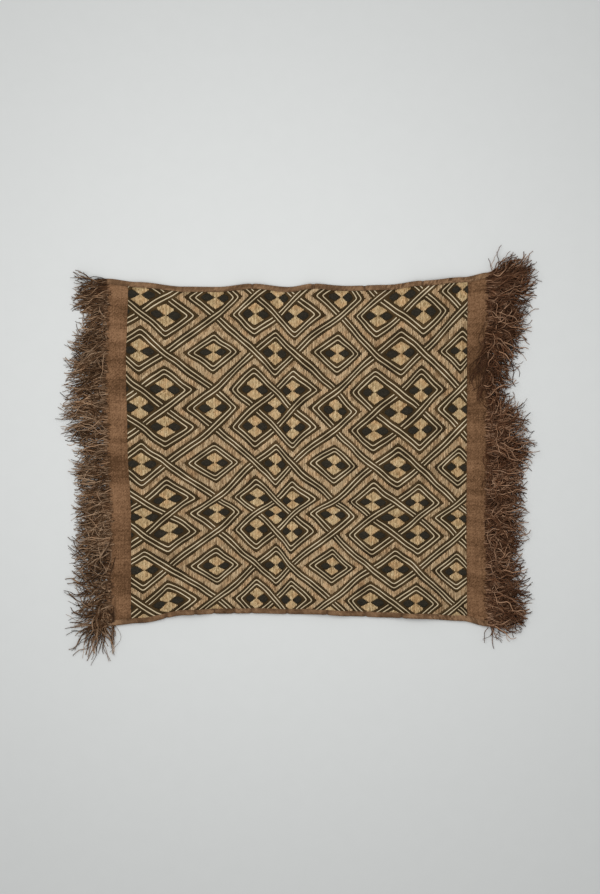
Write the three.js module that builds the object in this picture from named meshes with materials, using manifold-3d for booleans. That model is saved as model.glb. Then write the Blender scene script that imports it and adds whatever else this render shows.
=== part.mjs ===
// A cut-pile raffia cloth laid out face up on a floor: an embroidered centre panel between two plain
// woven side bands, a binding folded over its top and bottom edges, and a thick raffia fringe sewn
// down each side. Millimetres, +Z up: +X runs across the cloth and +Y towards its top edge.
import * as THREE from "three";
import { mergeVertices } from "three/addons/utils/BufferGeometryUtils.js";
import Module from "manifold-3d";

const wasm = await Module();
wasm.setup();

const { clamp, degToRad, lerp, smoothstep } = THREE.MathUtils;

// Driving dimensions of the flat cut
const BODY_WIDTH = 552; // across both side bands, without the fringe
const BODY_HEIGHT = 486; // over both bindings
const BODY_COLUMNS = 36; // bends across the body, shared by the panel, bands and bindings
const BAND_COLUMNS = 2; // of which each side band has these
const BINDING_WIDTH = 9;
const PANEL_THICK = 2.4; // ground weave and embroidery together
const BAND_THICK = 1.4;
const BINDING_THICK = 1.1;
const SEAM_GAP = 0.3; // between any two sewn pieces

// The fringe: a sewn strip with strands fused into it
const STRIP_WIDTH = 4;
const STRIP_THICK = 2.6;
const STRANDS_PER_LAYER = 56;
const STRAND_RINGS = 4;
const ROOT_RADIUS = 1.4;
const TIP_RADIUS = 0.55;
const STRAND_FLATNESS = 1.5; // a strand is a ribbon, wider than it is thick
const ROOT_HEIGHT = 0.35; // a strand's underside where it leaves the strip
const LENGTH_SPREAD = 0.16; // how unlike in length neighbouring strands are
const TURN_SHARE = 0.4; // the share of a strand over which it turns to its heading

// Layers of strands: the lower one lies on the floor and the upper one arches over it
const LAYERS = [
  { name: "lower", offset: 0.25, crown: 0, tip: 0, swing: -3 },
  { name: "upper", offset: 0.75, crown: 10, tip: 4.5, swing: 5 },
];

// How far the top and bottom edges stand above their straight lines, by share of the width
const EDGES = [
  { across: 0.0, top: 6, bottom: -11 },
  { across: 0.08, top: 1, bottom: -7 },
  { across: 0.2, top: -5.5, bottom: 4.5 },
  { across: 0.29, top: -6, bottom: 6.5 },
  { across: 0.38, top: -1.5, bottom: 7 },
  { across: 0.475, top: -6, bottom: 6 },
  { across: 0.54, top: -1.5, bottom: 5.5 },
  { across: 0.63, top: -4.5, bottom: 3 },
  { across: 0.73, top: -3, bottom: 1 },
  { across: 0.83, top: 3, bottom: -1 },
  { across: 0.93, top: 8, bottom: -4 },
  { across: 1.0, top: 15, bottom: -12 },
];

// How far the left and right edges stand to the right of their straight lines, by share of the height
const SIDES = [
  { up: 0.0, left: 4.5, right: 0 },
  { up: 0.3, left: 4.5, right: -1 },
  { up: 0.53, left: -1, right: 0 },
  { up: 0.75, left: -3.5, right: 0.5 },
  { up: 1.0, left: 0, right: 1.5 },
];

// Soft puckers that lift the cloth off the floor: place, height, and reach each way
const PUCKERS = [
  { across: 0.11, up: 1, height: 2.5, wide: 40, tall: 60 },
  { across: 0.38, up: 1, height: 4, wide: 44, tall: 80 },
  { across: 0.54, up: 1, height: 4.5, wide: 28, tall: 62 },
  { across: 0.86, up: 1, height: 5, wide: 64, tall: 96 },
  { across: 0.21, up: 0, height: 3, wide: 36, tall: 70 },
  { across: 0.58, up: 0, height: 2.5, wide: 40, tall: 60 },
  { across: 0.8, up: 0, height: 3.5, wide: 46, tall: 80 },
  { across: 0.03, up: 0.77, height: 2, wide: 34, tall: 12 },
  { across: 0.03, up: 0.53, height: 2.2, wide: 38, tall: 13 },
  { across: 0.97, up: 0.66, height: 2, wide: 32, tall: 15 },
  { across: 0.97, up: 0.34, height: 1.6, wide: 32, tall: 12 },
];

// Locks of the fringe by share of the height: heading above straight out in degrees, and length
const LEFT_LOCKS = [
  { up: 0.0, heading: -66, length: 56 },
  { up: 0.04, heading: -40, length: 54 },
  { up: 0.1, heading: -14, length: 52 },
  { up: 0.22, heading: -4, length: 50 },
  { up: 0.34, heading: -6, length: 48 },
  { up: 0.47, heading: -4, length: 45 },
  { up: 0.53, heading: -12, length: 56 },
  { up: 0.59, heading: -8, length: 68 },
  { up: 0.66, heading: -14, length: 60 },
  { up: 0.78, heading: -18, length: 53 },
  { up: 0.86, heading: -22, length: 43 },
  { up: 0.93, heading: -10, length: 45 },
  { up: 1.0, heading: 8, length: 44 },
];
const RIGHT_LOCKS = [
  { up: 0.0, heading: -58, length: 36 },
  { up: 0.03, heading: -26, length: 50 },
  { up: 0.09, heading: -6, length: 55 },
  { up: 0.19, heading: -12, length: 50 },
  { up: 0.3, heading: -10, length: 56 },
  { up: 0.41, heading: -6, length: 56 },
  { up: 0.5, heading: 2, length: 64 },
  { up: 0.57, heading: 8, length: 56 },
  { up: 0.63, heading: 0, length: 40 },
  { up: 0.7, heading: -28, length: 36 },
  { up: 0.78, heading: -22, length: 56 },
  { up: 0.88, heading: -6, length: 64 },
  { up: 0.95, heading: 18, length: 62 },
  { up: 1.0, heading: 52, length: 58 },
];

// The value of a table's column at a place, with soft bends at its rows
function alongTable(rows, key, column, place) {
  const next = rows.findIndex((row) => row[key] >= place);
  if (next <= 0) return rows.at(next)[column];
  const [low, high] = [rows[next - 1], rows[next]];
  return lerp(low[column], high[column], smoothstep(place, low[key], high[key]));
}

// How far a place on the flat cut is lifted: the bindings fold under the edges, and the puckers stand up
const BINDING_RAISE = BINDING_THICK + SEAM_GAP;
const BOUND_WIDTH = BINDING_WIDTH + SEAM_GAP;
const RAISE_REACH = 46;

function liftAt(u, v) {
  const fromEdge = Math.max(BODY_HEIGHT / 2 - Math.abs(v), BOUND_WIDTH);
  const level = Math.sign(v) * (BODY_HEIGHT / 2 - fromEdge);
  let lift = BINDING_RAISE * (1 - smoothstep(fromEdge, BOUND_WIDTH, RAISE_REACH));
  for (const { across, up, height, wide, tall } of PUCKERS) {
    const du = (u - (across - 0.5) * BODY_WIDTH) / wide;
    const dv = (level - (up - 0.5) * BODY_HEIGHT) / tall;
    const inside = Math.max(0, 1 - du * du - dv * dv);
    lift += height * inside * inside;
  }
  return lift;
}

// A geometry made on the flat cut, moved to where the cloth lies
function layDown(geometry) {
  const position = geometry.getAttribute("position");
  for (let i = 0; i < position.count; i++) {
    const [u, v, z] = [position.getX(i), position.getY(i), position.getZ(i)];
    const across = clamp(u / BODY_WIDTH + 0.5, 0, 1);
    const up = clamp(v / BODY_HEIGHT + 0.5, 0, 1);
    const left = alongTable(SIDES, "up", "left", up);
    const right = alongTable(SIDES, "up", "right", up);
    const top = alongTable(EDGES, "across", "top", across);
    const bottom = alongTable(EDGES, "across", "bottom", across);
    position.setXYZ(i, u + lerp(left, right, across), v + lerp(bottom, top, up), z + liftAt(u, v));
  }
  return geometry;
}

// A geometry with only its points, each shared by the faces that meet there
function welded(geometry) {
  geometry.deleteAttribute("normal");
  geometry.deleteAttribute("uv");
  return mergeVertices(geometry);
}

function solidOf(geometry) {
  const { position } = geometry.attributes;
  return new wasm.Manifold(
    new wasm.Mesh({
      numProp: 3,
      vertProperties: new Float32Array(position.array),
      triVerts: new Uint32Array(geometry.index.array),
    }),
  );
}

function geometryOf(solid) {
  const { vertProperties, triVerts } = solid.getMesh();
  return new THREE.BufferGeometry()
    .setAttribute("position", new THREE.BufferAttribute(vertProperties, 3))
    .setIndex(new THREE.BufferAttribute(triVerts, 1));
}

function piece(name, geometry, colour) {
  const shape = layDown(geometry);
  shape.computeVertexNormals();
  const material = new THREE.MeshStandardMaterial({ color: colour, roughness: 0.9, metalness: 0 });
  const mesh = new THREE.Mesh(shape, material);
  mesh.name = name;
  return mesh;
}

// A woven sheet, flat, with its underside at Z = 0 and its end rows as deep as the bindings
function sheet(width, height, thick, columns, rows, centreX) {
  const slab = welded(new THREE.BoxGeometry(width, height, thick, columns, rows, 1));
  const position = slab.getAttribute("position");
  const innerTop = BODY_HEIGHT / 2 - BOUND_WIDTH;
  for (let i = 0; i < position.count; i++) {
    const row = Math.round((position.getY(i) / height + 0.5) * rows);
    if (row > 0 && row < rows) position.setY(i, lerp(-innerTop, innerTop, (row - 1) / (rows - 2)));
  }
  return slab.translate(centreX, 0, thick / 2);
}

// The panel and bands reach into the bindings, and stop short of their round folds
const FOLD_RADIUS = (PANEL_THICK + SEAM_GAP + BINDING_THICK + BINDING_RAISE) / 2;
const CLOTH_HEIGHT = BODY_HEIGHT - 2 * FOLD_RADIUS;
const BAND_WIDTH = (BODY_WIDTH * BAND_COLUMNS) / BODY_COLUMNS - SEAM_GAP / 2;
const PANEL_COLUMNS = BODY_COLUMNS - 2 * BAND_COLUMNS;
const PANEL_WIDTH = BODY_WIDTH - 2 * (BAND_WIDTH + SEAM_GAP);
const PANEL_ROWS = 18;
const BAND_ROWS = 38;

function panel() {
  const slab = sheet(PANEL_WIDTH, CLOTH_HEIGHT, PANEL_THICK, PANEL_COLUMNS, PANEL_ROWS, 0);
  return piece("panel", slab, 0xa5855a);
}

function band(name, side) {
  const centreX = (side * (BODY_WIDTH - BAND_WIDTH)) / 2;
  const slab = sheet(BAND_WIDTH, CLOTH_HEIGHT, BAND_THICK, BAND_COLUMNS, BAND_ROWS, centreX);
  return piece(name, slab, 0x78543c);
}

// A strip folded round an edge: a hairpin section with a round back, drawn along the whole width
const FOLD_FACETS = 3;

function binding(name, side) {
  const low = -BINDING_RAISE;
  const high = low + 2 * FOLD_RADIUS;
  const middle = low + FOLD_RADIUS;
  const lip = BODY_HEIGHT / 2 - BINDING_WIDTH;
  const fold = BODY_HEIGHT / 2 - FOLD_RADIUS;
  const section = new THREE.Shape();
  section.moveTo(lip, low);
  section.absarc(fold, middle, FOLD_RADIUS, -Math.PI / 2, Math.PI / 2);
  section.lineTo(lip, high);
  section.lineTo(lip, high - BINDING_THICK);
  section.absarc(fold, middle, FOLD_RADIUS - BINDING_THICK, Math.PI / 2, -Math.PI / 2, true);
  section.lineTo(lip, low + BINDING_THICK);
  const drawn = new THREE.ExtrudeGeometry(section, {
    depth: BODY_WIDTH,
    steps: BODY_COLUMNS,
    curveSegments: FOLD_FACETS,
    bevelEnabled: false,
  });
  // The section's X turns to the cloth's Y, its Y to Z, and the draw runs along X
  drawn.applyMatrix4(new THREE.Matrix4().set(0, 0, 1, -BODY_WIDTH / 2, 1, 0, 0, 0, 0, 1, 0, 0, 0, 0, 0, 1));
  if (side < 0) drawn.rotateZ(Math.PI);
  return piece(name, welded(drawn), 0x83603f);
}

// A repeatable stream of numbers between 0 and 1
function randomStream(seed) {
  let state = seed;
  return () => {
    state = (state * 16807) % 2147483647;
    return state / 2147483647;
  };
}

// The underside of a strand at each ring, out from its root to its tip
function strandLine(root, side, heading, length, layer) {
  const step = length / STRAND_RINGS;
  const line = [root.clone()];
  for (let ring = 1; ring <= STRAND_RINGS; ring++) {
    const share = ring / STRAND_RINGS;
    const angle = degToRad(heading) * smoothstep(share - 0.5 / STRAND_RINGS, 0, TURN_SHARE);
    const place = line.at(-1).clone();
    place.x += side * Math.cos(angle) * step;
    place.y += Math.sin(angle) * step;
    place.z = lerp(0, layer.tip, share) + layer.crown * Math.sin(Math.PI * share);
    line.push(place);
  }
  return line;
}

// A strand of three sides, flat side down, tapering along its line
function strand(line) {
  const rod = new THREE.CylinderGeometry(TIP_RADIUS, ROOT_RADIUS, STRAND_RINGS, 3, STRAND_RINGS);
  const shape = welded(rod);
  const position = shape.getAttribute("position");
  for (let i = 0; i < position.count; i++) {
    const ring = Math.round(position.getY(i) + STRAND_RINGS / 2);
    const from = line[Math.max(ring - 1, 0)];
    const to = line[Math.min(ring + 1, STRAND_RINGS)];
    const heading = Math.atan2(to.y - from.y, to.x - from.x);
    const radius = lerp(ROOT_RADIUS, TIP_RADIUS, ring / STRAND_RINGS);
    const aside = position.getX(i) * STRAND_FLATNESS;
    const above = position.getZ(i) + radius / 2;
    position.setXYZ(
      i,
      line[ring].x + aside * Math.sin(heading),
      line[ring].y - aside * Math.cos(heading),
      line[ring].z + above,
    );
  }
  return solidOf(shape);
}

// The strip beside a band with its two layers of strands
function fringe(name, side, locks, seed) {
  const random = randomStream(seed);
  const stripX = side * (BODY_WIDTH / 2 + SEAM_GAP + STRIP_WIDTH / 2);
  let solid = solidOf(sheet(STRIP_WIDTH, BODY_HEIGHT, STRIP_THICK, 1, BAND_ROWS, stripX));
  for (const layer of LAYERS) {
    for (let i = 0; i < STRANDS_PER_LAYER; i++) {
      const up = (i + layer.offset) / STRANDS_PER_LAYER;
      const heading = alongTable(locks, "up", "heading", up) + layer.swing;
      const evenLength = alongTable(locks, "up", "length", up);
      const length = evenLength * (1 - LENGTH_SPREAD * random());
      const root = new THREE.Vector3(stripX, (up - 0.5) * BODY_HEIGHT, ROOT_HEIGHT);
      solid = solid.add(strand(strandLine(root, side, heading, length, layer)));
    }
  }
  return piece(name, geometryOf(solid), 0x553a29);
}

const cloth = new THREE.Group();
cloth.add(
  panel(),
  band("band_left", -1),
  band("band_right", 1),
  binding("binding_top", 1),
  binding("binding_bottom", -1),
  fringe("fringe_left", -1, LEFT_LOCKS, 11),
  fringe("fringe_right", 1, RIGHT_LOCKS, 23),
);

// The origin is on the floor, under the middle of the cloth and its fringe
const reach = new THREE.Box3().setFromObject(cloth, true);
const centre = reach.getCenter(new THREE.Vector3());
cloth.position.set(-centre.x, -centre.y, -reach.min.z);

export default cloth;
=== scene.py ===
"""A cut-pile raffia cloth laid face up: embroidered panel, plain bands, folded bindings and fringes.

Flat-cut coordinates are millimetres: u across, v towards the top edge, z up from the cloth's underside.
"""

import math

import bpy
import numpy as np
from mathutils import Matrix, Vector


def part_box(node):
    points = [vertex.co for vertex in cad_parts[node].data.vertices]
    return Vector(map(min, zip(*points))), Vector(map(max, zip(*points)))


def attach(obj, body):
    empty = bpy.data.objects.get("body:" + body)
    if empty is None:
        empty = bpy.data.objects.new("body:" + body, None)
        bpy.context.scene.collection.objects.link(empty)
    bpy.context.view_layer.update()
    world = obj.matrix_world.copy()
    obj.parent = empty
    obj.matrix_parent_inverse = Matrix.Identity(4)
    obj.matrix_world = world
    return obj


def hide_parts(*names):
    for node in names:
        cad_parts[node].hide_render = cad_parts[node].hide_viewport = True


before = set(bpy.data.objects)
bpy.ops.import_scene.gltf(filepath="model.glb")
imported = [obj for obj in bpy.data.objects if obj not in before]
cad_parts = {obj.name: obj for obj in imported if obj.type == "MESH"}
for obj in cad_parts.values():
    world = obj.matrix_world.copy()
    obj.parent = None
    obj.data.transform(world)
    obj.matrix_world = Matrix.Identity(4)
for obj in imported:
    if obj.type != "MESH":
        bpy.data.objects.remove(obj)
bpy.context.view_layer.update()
scene = bpy.context.scene

join, draws = np.concatenate, np.random.default_rng
MM = 0.001
# The cloth without its fringes, the gap between pieces, a band and half the panel
BODY_W, BODY_H = 552.0, 486.0
HALF_W, HALF_H = BODY_W / 2, BODY_H / 2
SEAM = 0.3
BAND_W = BODY_W / 18 - SEAM / 2
PANEL_U = HALF_W - BAND_W - SEAM
# The bindings: width under and over the cloth, radius of the fold, how far and how wide they raise it
BINDING_W, LIP_W, FOLD_R = 9.0, 7.8, 2.6
RAISE, RAISE_REACH = 1.4, 46.0
# Half the embroidery's height, as far as a little under the bindings' lips
CUT_V = HALF_H - LIP_W + 1.5
# The ground's underside and top, where stitches start in it, and the strip at a fringe's roots
GROUND_LOW, GROUND_TOP = 0.1, 1.15
STITCH_BASE = GROUND_TOP - 0.1
STRIP_W = 4.0

# Share of the width, and how far the top and bottom edges stand above straight lines
EDGES = np.array([
    (0.0, 6, -11), (0.08, 1, -7), (0.2, -5.5, 4.5), (0.29, -6, 6.5), (0.38, -1.5, 7), (0.475, -6, 6),
    (0.54, -1.5, 5.5), (0.63, -4.5, 3), (0.73, -3, 1), (0.83, 3, -1), (0.93, 8, -4), (1.0, 15, -12),
])
# Share of the height, and how far the left and right edges stand to the right
SIDES = np.array([(0.0, 4.5, 0), (0.3, 4.5, -1), (0.53, -1, 0), (0.75, -3.5, 0.5), (1.0, 0, 1.5)])
# Puckers: place across and up, height, reach across and up
PUCKERS = np.array([
    (0.11, 1, 2.5, 40, 60), (0.38, 1, 4, 44, 80), (0.54, 1, 4.5, 28, 62), (0.86, 1, 5, 64, 96),
    (0.21, 0, 3, 36, 70), (0.58, 0, 2.5, 40, 60), (0.8, 0, 3.5, 46, 80),
    (0.03, 0.77, 2, 34, 12), (0.03, 0.53, 2.2, 38, 13), (0.97, 0.66, 2, 32, 15),
    (0.97, 0.34, 1.6, 32, 12),
])


def ease(x, low, high):
    t = np.clip((x - low) / (high - low), 0, 1)
    return t * t * (3 - 2 * t)


def along(table, column, place):
    """A table's column at each place, with soft bends at its rows."""
    place = np.clip(place, table[0, 0], table[-1, 0])
    at = np.clip(np.searchsorted(table[:, 0], place) - 1, 0, len(table) - 2)
    t = ease(place, table[at, 0], table[at + 1, 0])
    return table[at, column] * (1 - t) + table[at + 1, column] * t


def lift_at(u, v):
    from_edge = np.maximum(HALF_H - np.abs(v), BINDING_W + SEAM)
    level = np.sign(v) * (HALF_H - from_edge)
    lift = RAISE * (1 - ease(from_edge, BINDING_W + SEAM, RAISE_REACH))
    for across, up, height, wide, tall in PUCKERS:
        du = (u - (across - 0.5) * BODY_W) / wide
        dv = (level - (up - 0.5) * BODY_H) / tall
        lift = lift + height * np.clip(1 - du * du - dv * dv, 0, None) ** 2
    return lift


def lay(u, v, z):
    """Flat-cut places moved to where the cloth lies, in metres."""
    across, up = np.clip(u / BODY_W + 0.5, 0, 1), np.clip(v / BODY_H + 0.5, 0, 1)
    x = u + along(SIDES, 1, up) * (1 - across) + along(SIDES, 2, up) * across
    y = v + along(EDGES, 2, across) * (1 - up) + along(EDGES, 1, across) * up
    return np.stack([x + SHIFT[0], y + SHIFT[1], z + lift_at(u, v)], -1) * MM


# The frame's panel gives where the flat cut's middle lies
SHIFT = np.zeros(2)
edge = np.linspace(-1, 1, 400)
edge_u, edge_v = edge * PANEL_U, edge * (HALF_H - FOLD_R)
low_x = lay(0 * edge - PANEL_U, edge_v, 0 * edge)[:, 0].min()
low_y = lay(edge_u, 0 * edge + edge_v[0], 0 * edge)[:, 1].min()
panel_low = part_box("panel")[0]
SHIFT = np.array([panel_low[0] - low_x, panel_low[1] - low_y]) / MM

WOBBLE_WAVES = 6


def wobble(u, v, size, wave, seed):
    """Soft unevenness over the cloth: mostly within size, and never past twice that."""
    pick = draws(seed)
    total = np.zeros(np.broadcast(u, v).shape)
    for _ in range(WOBBLE_WAVES):
        angle, phase = pick.uniform(0, 2 * math.pi, 2)
        k = 2 * math.pi / (wave * pick.uniform(0.6, 1.8))
        total = total + np.sin(k * (u * math.cos(angle) + v * math.sin(angle)) + phase)
    return total * size / (WOBBLE_WAVES / 2)


# Materials

# Strength of bumps, shine, and the depths in metres of fibres and weave
BUMP_STRENGTH, SPECULAR = 0.7, 0.1
FIBRE_DEPTH, WEAVE_DEPTH = 0.0003, 0.0005
# Scales of raffia's fibres, dye and tinted patches, and of a weave's streaks and clouds
FIBRE_SCALE, DYE_SCALE, PATCH_SCALE, STREAK_SCALE, CLOUD_SCALE = 1500, 22, 75, 260, 28
# Shares of raffia's tone, fibres and dye, and of a weave's threads (a painted highlight on its
# crossings), streaks, clouds and tone
FIBRE_SHARES, WEAVE_SHARES = (0.62, 0.26, 0.24), (0.12, 0.28, 0.2, 0.5)
# Places of the three colours
FIBRE_STOPS, WEAVE_STOPS = (0.18, 0.55, 0.92), (0.09, 0.3, 0.54)


def srgb(*colour):
    c = np.array(colour) / 255
    return (*np.where(c <= 0.04045, c / 12.92, ((c + 0.055) / 1.055) ** 2.4), 1)


class Nodes:
    """A material's node tree, with short ways to add to it."""

    def __init__(self, name):
        self.material = bpy.data.materials.new(name)
        self.material.use_nodes = True
        self.tree = self.material.node_tree
        self.place = self.add("TexCoord", {}).outputs["Object"]

    def put(self, node, inputs):
        """Sets a node's inputs, or links them to the outputs of others."""
        for key, value in inputs.items():
            if isinstance(value, bpy.types.NodeSocket):
                self.tree.links.new(value, node.inputs[key])
            else:
                node.inputs[key].default_value = value

    def add(self, kind, inputs, **settings):
        node = self.tree.nodes.new("ShaderNode" + kind)
        for key, value in settings.items():
            setattr(node, key, value)
        self.put(node, inputs)
        return node

    def math(self, operation, a, b):
        return self.add("Math", {0: a, 1: b}, operation=operation).outputs[0]

    def noise(self, scale, detail, stretch=(1, 1, 1)):
        mapping = self.add("Mapping", {"Scale": stretch, "Vector": self.place})
        node = self.add("TexNoise", {"Scale": scale, "Detail": detail, "Vector": mapping.outputs[0]})
        return node.outputs["Fac"]

    def wave(self, direction, length):
        uneven = {"Distortion": 0.6, "Detail": 1.0, "Detail Scale": 0.6}
        inputs = {"Scale": 2 * math.pi / (20 * length), "Vector": self.place, **uneven}
        return self.add("TexWave", inputs, bands_direction=direction).outputs["Fac"]

    def tone(self):
        return self.add("Attribute", {}, attribute_name="tone").outputs["Fac"]

    def blend(self, values, shares):
        """The sum of values, each times its share."""
        total = 0.0
        for value, share in zip(values, shares):
            total = self.math("ADD", total, self.math("MULTIPLY", value, share))
        return total

    def ramp(self, factor, stops, colours):
        node = self.add("ValToRGB", {0: factor})
        elements = node.color_ramp.elements
        while len(elements) < len(stops):
            elements.new(0.5)
        for element, place, colour in zip(elements, stops, colours):
            element.position = place
            element.color = srgb(*colour)
        return node.outputs[0]

    def finish(self, colour, height, depth, rough=(0.62, 0.85)):
        spread = self.add("MapRange", {"To Min": rough[0], "To Max": rough[1], "Value": height})
        bump = self.add("Bump", {"Strength": BUMP_STRENGTH, "Distance": depth, "Height": height})
        self.put(self.tree.nodes["Principled BSDF"], {
            "Base Color": colour, "Roughness": spread.outputs[0], "Normal": bump.outputs[0],
            "Specular IOR Level": SPECULAR,
        })
        return self.material


def fibre_material(name, *colours, stretch=(1, 0.15, 1), tint=None):
    """Split raffia: a tone for each stitch or strand, streaked along its fibres and unevenly dyed."""
    n = Nodes(name)
    fibre, cloud = n.noise(FIBRE_SCALE, 2.0, stretch), n.noise(DYE_SCALE, 2.0)
    colour = n.ramp(n.blend((n.tone(), fibre, cloud), FIBRE_SHARES), FIBRE_STOPS, colours)
    if tint:
        patch = n.math("SUBTRACT", n.noise(PATCH_SCALE, 2.0), 0.42)
        patch = n.math("MAXIMUM", n.math("MULTIPLY", patch, 3.0), 0.0)
        inputs = {0: n.math("MINIMUM", patch, 0.85), 6: colour, 7: srgb(*tint)}
        colour = n.add("Mix", inputs, data_type="RGBA", blend_type="MULTIPLY").outputs[2]
    return n.finish(colour, fibre, FIBRE_DEPTH)


def weave_material(name, pitch, *colours):
    """Plain weave: threads over and under each other, with a painted highlight on the raised crossings,
    uneven dye and streaks along the weft.
    """
    n = Nodes(name)
    warp, weft = n.wave("X", pitch), n.wave("Y", pitch)
    both = n.math("MULTIPLY", warp, weft)
    neither = n.math("MULTIPLY", n.math("SUBTRACT", 1.0, warp), n.math("SUBTRACT", 1.0, weft))
    knuckle = n.math("ADD", both, neither)
    streak, cloud = n.noise(STREAK_SCALE, 3.0, (0.1, 1, 1)), n.noise(CLOUD_SCALE, 3.0)
    value = n.blend((knuckle, streak, cloud, n.math("SUBTRACT", n.tone(), 0.5)), WEAVE_SHARES)
    return n.finish(n.ramp(value, WEAVE_STOPS, colours), knuckle, WEAVE_DEPTH, rough=(0.9, 0.7))


# Dark, middle and light colours, tints, and the sizes of the weaves' threads in metres
RED_TINT = 255, 242, 230
DARK_LINE = fibre_material("dark_line", (36, 25, 10), (54, 40, 19), (82, 62, 36))
PALE_LINE = fibre_material("pale_line", (162, 145, 114), (197, 180, 148), (220, 205, 176))
FIELD = fibre_material("field", (118, 95, 68), (166, 142, 109), (195, 171, 137), tint=(255, 240, 228))
PALE_PILE = fibre_material(
    "pale_pile", (136, 111, 75), (181, 157, 118), (207, 185, 146), tint=(255, 238, 226)
)
DARK_PILE = fibre_material("dark_pile", (25, 22, 16), (39, 35, 27), (58, 52, 42), stretch=(1, 1, 1))
# The ground's top is painted dark as painted shade in the gaps between stitches; the same cloth's
# underside is the back's colour
PAINTED_SHADE_GROUND = weave_material("ground", 0.0029, (44, 32, 18), (60, 45, 27), (81, 62, 39))
BACK = weave_material("back", 0.0029, (114, 89, 60), (144, 117, 83), (165, 140, 104))
BAND = weave_material("band", 0.0022, (78, 54, 33), (112, 82, 57), (141, 107, 78))
BINDING = weave_material("binding", 0.0026, (72, 51, 32), (105, 79, 56), (140, 110, 82))
LEFT_FRINGE = fibre_material(
    "left_fringe", (38, 24, 12), (97, 71, 49), (177, 148, 120), stretch=(0.2, 1, 1), tint=RED_TINT
)
RIGHT_FRINGE = fibre_material(
    "right_fringe", (40, 23, 12), (101, 69, 48), (178, 143, 115), stretch=(0.2, 1, 1), tint=RED_TINT
)
THREAD = fibre_material("thread", (56, 40, 28), (81, 60, 42), (106, 81, 60))


# Meshes


def make(name, points, faces, materials, tone=0.5, slots=None, chart=None):
    """A smooth mesh object from arrays of points and of faces, riding on the cloth."""
    mesh = bpy.data.meshes.new(name)
    mesh.vertices.add(len(points))
    mesh.vertices.foreach_set("co", points.astype(np.float32).ravel())
    corners = join([f.ravel() for f in faces]).astype(np.int32)
    sizes = join([np.full(len(f), f.shape[1]) for f in faces])
    mesh.loops.add(len(corners))
    mesh.loops.foreach_set("vertex_index", corners)
    mesh.polygons.add(len(sizes))
    mesh.polygons.foreach_set("loop_start", (np.cumsum(sizes) - sizes).astype(np.int32))
    for material in materials:
        mesh.materials.append(material)
    if slots is not None:
        mesh.polygons.foreach_set("material_index", slots.astype(np.int32))
    mesh.polygons.foreach_set("use_smooth", np.ones(len(sizes), bool))
    shade = mesh.attributes.new("tone", "FLOAT", "POINT")
    shade.data.foreach_set("value", np.broadcast_to(tone, len(points)).astype(np.float32))
    if chart is not None:
        layer = mesh.uv_layers.new(name="OFBake")
        layer.uv.foreach_set("vector", chart[corners].astype(np.float32).ravel())
    mesh.update(calc_edges=True)
    mesh.validate()
    piece = bpy.data.objects.new(name, mesh)
    scene.collection.objects.link(piece)
    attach(piece, "root")
    return piece


def grid_faces(rows, columns, start=0):
    """Quads of a grid of points, row after row, facing up where columns run right and rows run up."""
    at = start + np.arange(rows * columns).reshape(rows, columns)
    return np.stack([at[:-1, :-1], at[:-1, 1:], at[1:, 1:], at[1:, :-1]], -1).reshape(-1, 4)


def many_grids(count, rows, columns):
    """Quads of many grids of the same size, one after another."""
    one = grid_faces(rows, columns)
    return (one[None] + (np.arange(count) * rows * columns)[:, None, None]).reshape(-1, 4)


# The least area of a face of embroidery, and the width of its bake chart against half the panel's
LEAST_AREA, CHART_W = 0.005, 2.04


def on_panel(name, u, v, z, faces, material, tone):
    """A piece of embroidery, cut off clean at the panel's edges."""
    u, v = np.clip(u, -PANEL_U, PANEL_U), np.clip(v, -CUT_V, CUT_V)
    flat = np.stack([u, v], -1)[faces]
    span = flat[:, 2] - flat[:, 0]
    other = flat[:, 3] - flat[:, 1]
    area = np.abs(span[:, 0] * other[:, 1] - span[:, 1] * other[:, 0]) / 2
    used, faces = np.unique(faces[area > LEAST_AREA], return_inverse=True)
    faces = faces.reshape(-1, 4)
    u, v, z, tone = u[used], v[used], z[used], tone[used]
    chart = np.stack([u / PANEL_U, v / HALF_H], -1) / CHART_W + 0.5
    return make(name, lay(u, v, z), [faces], [material], tone, chart=chart)


def closed_sheet(u, v, low, high):
    """Points and faces of a thin closed sheet over a grid: rows of v and columns of u."""
    rows, columns = u.shape
    top = lay(u, v, high).reshape(-1, 3)
    under = lay(u, v, low).reshape(-1, 3)
    count = rows * columns
    at = np.arange(count).reshape(rows, columns)
    rim = join([at[0, :-1], at[:-1, -1], at[-1, :0:-1], at[:0:-1, 0]])
    after = np.roll(rim, -1)
    upper = grid_faces(rows, columns)
    lower = grid_faces(rows, columns, count)[:, ::-1]
    wall = np.stack([rim + count, after + count, after, rim], -1)
    return join([top, under]), [upper, wall, lower]


# The ground of the panel, its top painted dark as shade in the gaps between stitches, plain underneath
GROUND_COLUMNS, GROUND_ROWS = 72, 70
across = np.linspace(-PANEL_U, PANEL_U, GROUND_COLUMNS)
u, v = np.meshgrid(across, np.linspace(-1, 1, GROUND_ROWS) * (HALF_H - FOLD_R))
points, faces = closed_sheet(u, v, 0 * u + GROUND_LOW, 0 * u + GROUND_TOP)
slots = join([np.zeros(len(faces[0]) + len(faces[1])), np.ones(len(faces[2]))])
ground = make("embroidered_ground", points, faces, [PAINTED_SHADE_GROUND, BACK], slots=slots)
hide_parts("panel")


# The strap pattern, on a lattice of x across and y down, with p = x + y and q = x - y. Straps are
# rectangles in p and q. Where the hand-drawn columns and rows of the lattice stand on the flat cut
COLUMNS = np.array([
    (-6, -227), (-5, -190.5), (-3, -120), (-1, -61), (0, -32.5), (1, -7), (3, 54), (5, 110.5),
    (6, 145.5), (7, 177.5), (9, 233.5),
])
ROWS = np.array([
    (-6, 225.5), (-5, 198.5), (-3, 143), (-1, 87.5), (0, 60), (1, 32), (3, -21), (5, -73.5),
    (6, -95), (7, -121), (9, -171.5), (11, -221),
])
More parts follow.
